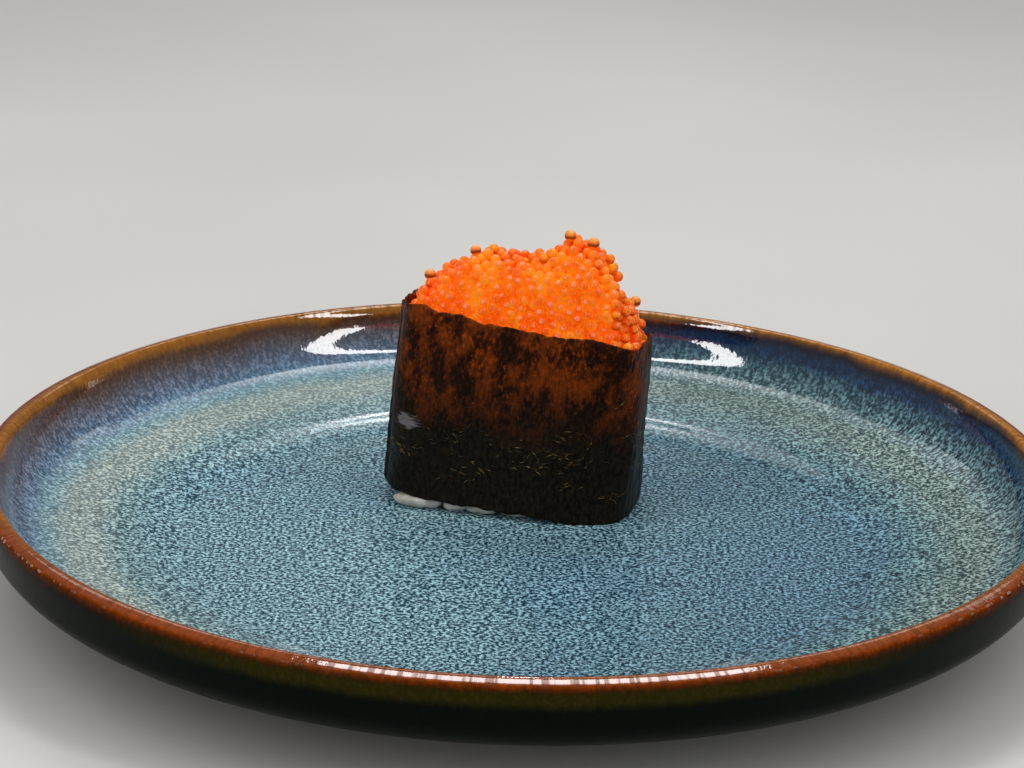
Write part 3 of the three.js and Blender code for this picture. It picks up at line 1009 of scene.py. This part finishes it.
class TOBIKO_OT_rice(bpy.types.Operator):
    """Presses the block of rice and lays grains round its foot."""

    bl_idname = "tobiko.rice"
    bl_label = "Rice"

    def execute(self, context):
        rice = context.scene.tobiko_rice
        form = SushiForm(context)
        finish = rice_finish(rice)
        self.block(form, in_mm(rice.height), finish)
        self.grains(form, rice, finish)
        return {"FINISHED"}

    def block(self, form, height, finish):
        steps, rows = BLOCK_GRID
        angles, arcs = form.angles(0, 2 * math.pi, steps + 1)
        heights = np.linspace(0.3, height, rows)
        points = np.zeros((steps, rows, 3))
        for column in range(steps):
            angle, arc = angles[column], arcs[column]
            for row, level in enumerate(heights):
                spot = Vector((arc / 3.4, level / 1.7, 0.0))
                relief = noise.voronoi(spot)[0][0]
                rounding = max(0.0, level - height + 1.5) ** 2 * 0.4
                undercut = 1.5 * (1 - smoothstep(level, 0.5, 4.0))
                x, y = form.wall(angle, level, 1.15 + 0.5 * relief + rounding + undercut)
                points[column, row] = (x, y, level)
        lid = [points[:, -1].mean(axis=0), points[:, 0].mean(axis=0)]
        shape = form.place(np.concatenate([points.reshape(-1, 3), lid]))
        middle = steps * rows
        faces = tube_faces(steps, rows, (middle + 1, middle))
        settle(new_piece("rice_pressed", shape, faces, finish), "rice_block")

    def grains(self, form, rice, finish):
        rng = np.random.default_rng(7)
        shape, faces = grain_shape()
        clouds = []
        for x, back, long, wide, height, heading in FRONT_GRAINS:
            middle = (x, 0.45 + back - form.width / 2 + 0.5 * wide, height)
            clouds.append(self.grain(shape, long, wide, middle, math.radians(heading), rng))
        size = np.array([in_mm(rice.grain_length), in_mm(rice.grain_width)])
        for level, count in ((0, rice.grains), (1, rice.grains - 4)):
            for index in range(count):
                angle = 2 * math.pi * (index + 0.6 * rng.random()) / count
                long, wide = size * rng.uniform(0.85, 1.1, 2)
                inset = 1.3 + 0.5 * rng.random() + 0.9 * abs(math.cos(angle)) + 0.9 * level
                height = 0.05 + 0.46 * wide + level * 2.1
                x, y = form.outline(angle, height, inset)
                taken = y < 2 and x < 7.5
                if level == 0 and (taken or form.bottom_edge(angle) < 0.9):
                    continue
                ahead = form.outline(angle + 0.05, height, inset)
                heading = math.atan2(ahead[1] - y, ahead[0] - x) + rng.normal(0, 0.3)
                middle = (float(x), float(y), height)
                clouds.append(self.grain(shape, long, wide, middle, heading, rng))
        starts = range(0, len(shape) * len(clouds), len(shape))
        sides = [[start + i for i in face] for start in starts for face in faces]
        placed = form.place(np.concatenate(clouds))
        settle(new_piece("rice_grains", placed, sides, finish), None)

    def grain(self, shape, long, wide, middle, heading, rng):
        """One grain, a little bent, tipped and dented, with its foot kept over the plate."""
        turn = Matrix.Rotation(heading, 3, "Z") @ Matrix.Rotation(rng.normal(0, 0.08), 3, "Y")
        body = shape * [long, wide, wide]
        body[:, 1] += 0.03 * (body[:, 0] ** 2) * rng.uniform(-1, 1)
        dents = np.array([noise.noise(Vector(p) / 1.5 + Vector((long * 7, 0, 0))) for p in body])
        body[:, 1:] *= (1 + 0.25 * dents)[:, None]
        placed = body @ np.array(turn).T + middle
        placed[:, 2] = np.maximum(placed[:, 2], 0.03)
        return placed


def roe_finish(name, roe, light, dark):
    """Wet roe that lets a little light into each egg, with a painted glow: an emission that is
    strongest where the heap faces the front, so that the eggs there run into one another.
    """
    finish = Finish(name)
    place = finish.place()
    crown = finish.value("egg_crown")
    glow = finish.value("egg_painted_glow")
    body = finish.mix(finish.value("egg_tone"), dark, light)
    clouds = finish.noise(place, 0.27, detail=2.0)
    body = finish.mix(finish.fade(clouds, 0.5, 0.66, 0.0, 0.6), body, roe.gold)
    body = finish.mix(finish.fade(clouds, 0.46, 0.32, 0.0, 0.6), body, tint(0xF24E04))
    # Painted light: a gold ring round the side of some eggs, where light gathers in a clear egg.
    ring = finish.math("MULTIPLY", finish.fade(crown, 0.1, 0.4), finish.fade(crown, 0.85, 0.55))
    ring = finish.math("MULTIPLY", ring, finish.fade(finish.noise(place, 1.5, detail=2.0), 0.45, 0.62))
    body = finish.mix(finish.math("MULTIPLY", ring, 0.5), body, roe.gold)
    # Painted highlight: a pale spot on the outward top of some eggs.
    highlight_dot = finish.fade(finish.noise(place, 0.6), 0.47, 0.6)
    highlight_dot = finish.math("MULTIPLY", finish.fade(crown, 0.8, 0.97), highlight_dot)
    body = finish.mix(finish.math("MULTIPLY", highlight_dot, 0.55), body, roe.peach_highlight)
    # Painted shade: the lower side of the eggs that do not glow, on the heap's top, back and right
    # end, is painted dark brown as a dark lens.
    up = finish.parts(finish.nodes.new("ShaderNodeNewGeometry").outputs["Normal"])[2]
    lens = finish.math("MULTIPLY", finish.fade(up, 0.3, -0.5), finish.fade(glow, 0.7, 0.1))
    lens = finish.math("MULTIPLY", lens, finish.fade(finish.noise(place, 0.8), 0.38, 0.56))
    body = finish.mix(finish.math("MULTIPLY", lens, 0.85), body, roe.shade)
    # Painted glow: where the heap faces the front, the base is painted darker and the emission below
    # gives the eggs their colour.
    skin = finish.mix(finish.math("MULTIPLY", glow, 0.75), body, tint(0x7A2C04))
    finish.bump(finish.noise(place, 1.6, detail=2.0), 0.1, 0.35)
    return finish.set(
        Base_Color=skin,
        Roughness=0.16,
        IOR=1.4,
        Subsurface_Weight=0.85,
        Subsurface_Radius=(1.8, 0.8, 0.2),
        Subsurface_Scale=0.0012,
        Emission_Color=body,
        Emission_Strength=finish.math("MULTIPLY_ADD", glow, 0.42, 0.14),
    )


def loose_egg_finish(roe):
    """An egg with light behind it: amber, with a painted dark lens low in it, a painted light top over
    that, and a painted glow.
    """
    finish = Finish("roe_loose")
    up = finish.parts(finish.nodes.new("ShaderNodeNewGeometry").outputs["Normal"])[2]
    # Painted light: the colour follows which way the surface faces, bent by noise; the emission is a
    # painted glow.
    lens_wobble = finish.noise(finish.place(), 0.7, detail=2.0)
    level = finish.math("MULTIPLY_ADD", up, 0.5, finish.math("MULTIPLY", lens_wobble, 0.5))
    body = finish.ramp(
        level,
        [
            (0.0, roe.tangerine),
            (0.1, roe.shade),
            (0.27, roe.shade),
            (0.36, roe.amber),
            (0.55, tint(0xF09440)),
            (0.75, tint(0xF6AE70)),
        ],
    )
    return finish.set(
        Base_Color=body,
        Roughness=0.2,
        IOR=1.38,
        Subsurface_Weight=0.3,
        Subsurface_Radius=(1.6, 0.6, 0.2),
        Subsurface_Scale=0.001,
        Emission_Color=body,
        Emission_Strength=0.2,
    )


def resting(spots, eggs, floor, apart):
    """Heights at which eggs let down over plan spots touch the eggs that lie there, or the floor.

    They are rounded, so that what ties is the same in each run.
    """
    across = spots[:, None, :] - eggs[None, :, :2]
    plan = (across**2).sum(axis=2)
    touch = eggs[None, :, 2] + np.sqrt(np.clip(apart**2 - plan, 0, None))
    touch = np.where(plan < apart**2, touch, -np.inf)
    return np.round(np.maximum(touch.max(axis=1, initial=-np.inf), floor), 6)


def packed_eggs(form, depth, limit):
    """Eggs let fall one by one where the pile lies furthest under the heap's form, until it is full.

    Each rolls to the lowest place near where it fell. Heights are of their middles.
    """

    def bed(spots):
        return np.minimum(form.heap(spots) - depth, form.heap(1.08 * spots) - 0.8)

    rng = np.random.default_rng(41)
    half = np.array([form.length, form.width]) / 2
    apart = EGG_SPACING * form.egg
    circle = np.linspace(0, 2 * np.pi, 8, endpoint=False)
    steps = np.concatenate([[[0, 0]], np.stack([np.cos(circle), np.sin(circle)], axis=1)]).round(6)
    eggs = np.zeros((0, 3))
    misses = 0
    while misses < EGG_MISSES and len(eggs) < limit:
        spots = rng.uniform(-half, half, (80, 2))
        spots = spots[form.reach(spots) < EGGS_REACH]
        rest = resting(spots, eggs, bed(spots), apart)
        spot = spots[np.argmax(np.round(form.heap(spots) - rest, 5))]
        for stride in (0.6, 0.4, 0.25, 0.15):
            nearby = spot + stride * steps
            nearby = nearby[form.reach(nearby) < EGGS_REACH]
            rest = resting(nearby, eggs, bed(nearby), apart)
            spot, height = nearby[np.argmin(rest)], rest.min()
        if height > form.heap(spot[None])[0] + 0.25:
            misses += 1
            continue
        misses = 0
        eggs = np.concatenate([eggs, [[*spot, height]]])
    return eggs


class TOBIKO_OT_roe(bpy.types.Operator):
    """Fills the strip with roe: a bumpy mound, two layers of packed eggs, and a few loose ones."""

    bl_idname = "tobiko.roe"
    bl_label = "Roe"

    def execute(self, context):
        roe = context.scene.tobiko_roe
        form = SushiForm(context)
        rng = np.random.default_rng(23)
        pile = packed_eggs(form, EGG_BED, roe.eggs)
        loose = np.zeros((0, 3))
        nearby = np.linspace(-0.6, 0.6, 5)
        around = np.stack(np.meshgrid(nearby, nearby), axis=-1).reshape(-1, 2)
        for x, y, height in LOOSE_EGGS:
            spots = around + [x, y]
            rest = resting(spots, np.concatenate([pile, loose]), -np.inf, form.egg)
            nest = np.argmin(np.abs(rest - height))
            loose = np.concatenate([loose, [[*spots[nest], rest[nest] - 0.05]]])

        depth = form.heap(pile[:, :2]) - pile[:, 2]
        over_edge = pile[:, 2] - form.top - TOP_SLOPE * pile[:, 0] - TOP_TILT * pile[:, 1]
        tones = np.clip(over_edge / 8, 0, 0.75) + rng.uniform(-0.3, 0.4, len(pile))
        kind = rng.random(len(pile))
        open_eggs = depth < 1.3
        gold = open_eggs & (kind < 0.035)
        bright = open_eggs & ~gold & (kind < 0.55)
        deep = open_eggs & ~gold & ~bright
        groups = {"tangerine": bright, "ember": deep, "gold": gold, "below": ~open_eggs}
        for name, chosen in groups.items():
            light, dark = (roe.gold, roe.tangerine) if name == "gold" else (roe.tangerine, roe.ember)
            finish = roe_finish("roe_" + name, roe, light, dark)
            shown = np.clip(tones[chosen], 0, 1)
            self.eggs(form, "roe_eggs_" + name, pile[chosen], form.egg, shown, finish, rng)
        size, shown = in_mm(roe.loose_egg), np.ones(len(loose))
        self.eggs(form, "roe_eggs_loose", loose, size, shown, loose_egg_finish(roe), rng)
        self.mound(form, finish)
        return {"FINISHED"}

    def eggs(self, form, name, spots, size, tones, finish, rng):
        ball = bmesh.new()
        bmesh.ops.create_icosphere(ball, subdivisions=3, radius=0.5)
        shape = np.array([v.co[:] for v in ball.verts])
        sides = np.array([[v.index for v in f.verts] for f in ball.faces])
        ball.free()
        count = len(spots)
        sizes = size * rng.normal(1, 0.05, count).clip(0.88, 1.08)
        middles = spots + [LEAN * form.top, 0, 0]
        ceiling = CAD_HIGH.z / MM - form.floor - sizes / 2 - 0.02
        middles[:, 2] = np.minimum(middles[:, 2], ceiling)
        squash = 1 + rng.normal(0, 0.02, (count, 1, 3)).clip(-0.03, 0)
        points = middles[:, None, :] + shape[None] * squash * sizes[:, None, None]
        faces = sides[None] + (np.arange(count) * len(shape))[:, None, None]
        piece = new_piece(name, form.place(points.reshape(-1, 3)), faces.reshape(-1, 3), finish)
        outward = form.heap_slope(spots[:, :2])
        add_values(piece, "egg_crown", (outward @ (shape / 0.5).T).ravel())
        # Painted glow: strongest where the heap faces the front, weaker where it faces up, back or its
        # right end.
        glow = smoothstep(-outward[:, 1], -0.2, 0.55) * smoothstep(-outward[:, 0], -0.75, -0.35)
        add_values(piece, "egg_painted_glow", np.repeat(glow, len(shape)))
        add_values(piece, "egg_tone", np.repeat(tones, len(shape)))
        settle(piece, None)

    def mound(self, form, finish):
        """The close-packed roe under the open eggs, down to the rice."""
        steps, rings = MOUND_COLUMNS, MOUND_RINGS
        rows = rings + MOUND_WALL_ROWS
        angles, _ = form.angles(0, 2 * math.pi, steps + 1)
        points = np.zeros((steps, rows, 3))
        half_length = form.length / 2 - TAPER * form.top - HEAP_INSET
        half_width = form.width / 2 - HEAP_INSET
        for column in range(steps):
            cos, sin = math.cos(angles[column]), math.sin(angles[column])
            reach = 0.93 * (np.arange(rings) + 1) / rings
            x = reach * half_length * np.sign(cos) * abs(cos) ** (2 / SQUARENESS)
            y = reach * half_width * np.sign(sin) * abs(sin) ** (2 / SQUARENESS)
            below = form.heap_points(np.stack([x, y], axis=1), 2.4)
            bumps = [noise.voronoi(Vector(p) / 1.9)[0][0] for p in below]
            below[:, 2] -= np.array(bumps) * 1.1
            points[column, :rings] = below
            for row, level in enumerate(np.linspace(26, 16.1, MOUND_WALL_ROWS)):
                wall_x, wall_y = form.wall(angles[column], level, 1.05)
                points[column, rings + row] = (wall_x, wall_y, level)
        lid = [form.heap_points(np.zeros((1, 2)), 2.6)[0], points[:, -1].mean(axis=0)]
        placed = form.place(np.concatenate([points.reshape(-1, 3), lid]))
        middle = steps * rows
        faces = turned_over(tube_faces(steps, rows, (middle, middle + 1)))
        piece = new_piece("roe_mound", placed, faces, finish)
        add_values(piece, "egg_crown", np.full(len(placed), 0.6))
        # Painted glow: the mound glows in full.
        add_values(piece, "egg_painted_glow", np.ones(len(placed)))
        add_values(piece, "egg_tone", np.full(len(placed), 0.3))
        settle(piece, "roe_heap")


class TOBIKO_OT_stage(bpy.types.Operator):
    """Lays the pale floor and sets up the soft lamps and the camera."""

    bl_idname = "tobiko.stage"
    bl_label = "Stage"

    def execute(self, context):
        stage = context.scene.tobiko_stage
        self.floor(stage)
        self.lamps(stage)
        self.camera(context, stage)
        context.scene.view_settings.view_transform = "Standard"
        return {"FINISHED"}

    def floor(self, stage):
        finish = Finish("plain_floor")
        cast = finish.noise(finish.place(), 0.004, detail=2.0)
        shade = finish.mix(finish.fade(cast, 0.3, 0.7), stage.floor, tint(0xE6E4E0))
        finish.set(Base_Color=shade, Roughness=0.85)
        reach = 4000
        corners = [(-reach, -reach, 0), (reach, -reach, 0), (reach, reach, 0), (-reach, reach, 0)]
        floor = new_piece("floor", corners, [(0, 1, 2, 3)], finish.material, False)

    def lamps(self, stage):
        """An arch of soft lamps before the plate, a soft box over it and two lamps behind it."""
        front = Vector((0, -math.cos(stage.arch_rise), math.sin(stage.arch_rise)))
        up = Vector((0, math.sin(stage.arch_rise), math.cos(stage.arch_rise)))
        side = Vector((1, 0, 0))
        step = stage.arch_sweep / stage.arch_lamps
        radius = stage.arch_reach * math.sin(stage.arch_cone)
        size = (2 * radius * math.tan(step / 2), stage.arch_band)
        for index in range(stage.arch_lamps):
            turn = math.pi / 2 + (index + 0.5) * step - stage.arch_sweep / 2
            out = side * math.cos(turn) + up * math.sin(turn)
            along = up * math.cos(turn) - side * math.sin(turn)
            away = front * math.cos(stage.arch_cone) + out * math.sin(stage.arch_cone)
            power = stage.arch_power / stage.arch_lamps
            self.lamp("lamp_%02d" % index, stage.arch_reach, away, along, size, power)
        over = Vector((0.026, 0.39, 0.92)).normalized()
        self.lamp("lamp_box", 0.7, over, side, (0.36, 0.2), stage.box_power)
        glow = Vector((0.02, 0.77, 0.64)).normalized()
        self.lamp("lamp_glow", 0.8, glow, side, (0.8, 0.12), stage.glow_power)
        back = Vector((0.01, 0.72, 0.69)).normalized()
        self.lamp("lamp_back", 0.6, back, side, (0.012, 0.022), stage.back_power)
        world = bpy.data.worlds.new("soft_room")
        world.use_nodes = True
        room = world.node_tree.nodes["Background"]
        room.inputs["Color"].default_value = (1.0, 0.99, 0.97, 1.0)
        room.inputs["Strength"].default_value = stage.room_light
        bpy.context.scene.world = world

    def lamp(self, name, reach, away, along, size, power):
        """A flat lamp so far away from the back of the plate, that faces it."""
        light = bpy.data.lights.new(name, "AREA")
        light.shape = "RECTANGLE"
        light.size, light.size_y = size
        light.energy = power
        holder = bpy.data.objects.new(name, light)
        turned = Matrix((along, away.cross(along), away)).transposed().to_4x4()
        place = Vector(LAMP_AIM) * MM + away * reach
        holder.matrix_world = Matrix.Translation(place) @ turned
        bpy.context.scene.collection.objects.link(holder)

    def camera(self, context, stage):
        camera = bpy.data.cameras.new("camera")
        camera.lens = stage.lens
        camera.sensor_width = 36
        holder = bpy.data.objects.new("camera", camera)
        place = Matrix.Translation(Vector(CAMERA_PLACE) * MM)
        tilt = Matrix.Rotation(math.pi / 2 - stage.pitch, 4, "X")
        holder.matrix_world = place @ tilt @ Matrix.Rotation(stage.roll, 4, "Z")
        context.scene.collection.objects.link(holder)
        context.scene.camera = holder


class TOBIKO_PT_panel(bpy.types.Panel):
    """Lists the steps that build the plate of tobiko, and their settings."""

    bl_label = "Plate of Tobiko"
    bl_idname = "TOBIKO_PT_panel"
    bl_space_type = "VIEW_3D"
    bl_region_type = "UI"
    bl_category = "Tobiko"

    def draw(self, context):
        for operator, group in STEPS:
            self.layout.operator(operator.bl_idname)
            settings = getattr(context.scene, group)
            for name in settings.bl_rna.properties.keys():
                if name not in ("rna_type", "name"):
                    self.layout.prop(settings, name)


GROUPS = [
    ("tobiko_plate", PlateSettings),
    ("tobiko_sushi", SushiSettings),
    ("tobiko_rice", RiceSettings),
    ("tobiko_roe", RoeSettings),
    ("tobiko_stage", StageSettings),
]
STEPS = [
    (TOBIKO_OT_plate, "tobiko_plate"),
    (TOBIKO_OT_seaweed, "tobiko_sushi"),
    (TOBIKO_OT_rice, "tobiko_rice"),
    (TOBIKO_OT_roe, "tobiko_roe"),
    (TOBIKO_OT_stage, "tobiko_stage"),
]


def register():
    for name, group in GROUPS:
        bpy.utils.register_class(group)
        setattr(bpy.types.Scene, name, bpy.props.PointerProperty(type=group))
    for operator, _ in STEPS:
        bpy.utils.register_class(operator)
    bpy.utils.register_class(TOBIKO_PT_panel)


def unregister():
    bpy.utils.unregister_class(TOBIKO_PT_panel)
    for operator, _ in reversed(STEPS):
        bpy.utils.unregister_class(operator)
    for name, group in reversed(GROUPS):
        delattr(bpy.types.Scene, name)
        bpy.utils.unregister_class(group)


def main():
    register()
    bpy.ops.tobiko.plate()
    bpy.ops.tobiko.seaweed()
    bpy.ops.tobiko.rice()
    bpy.ops.tobiko.roe()
    bpy.ops.tobiko.stage()


if __name__ == "__main__":
    main()
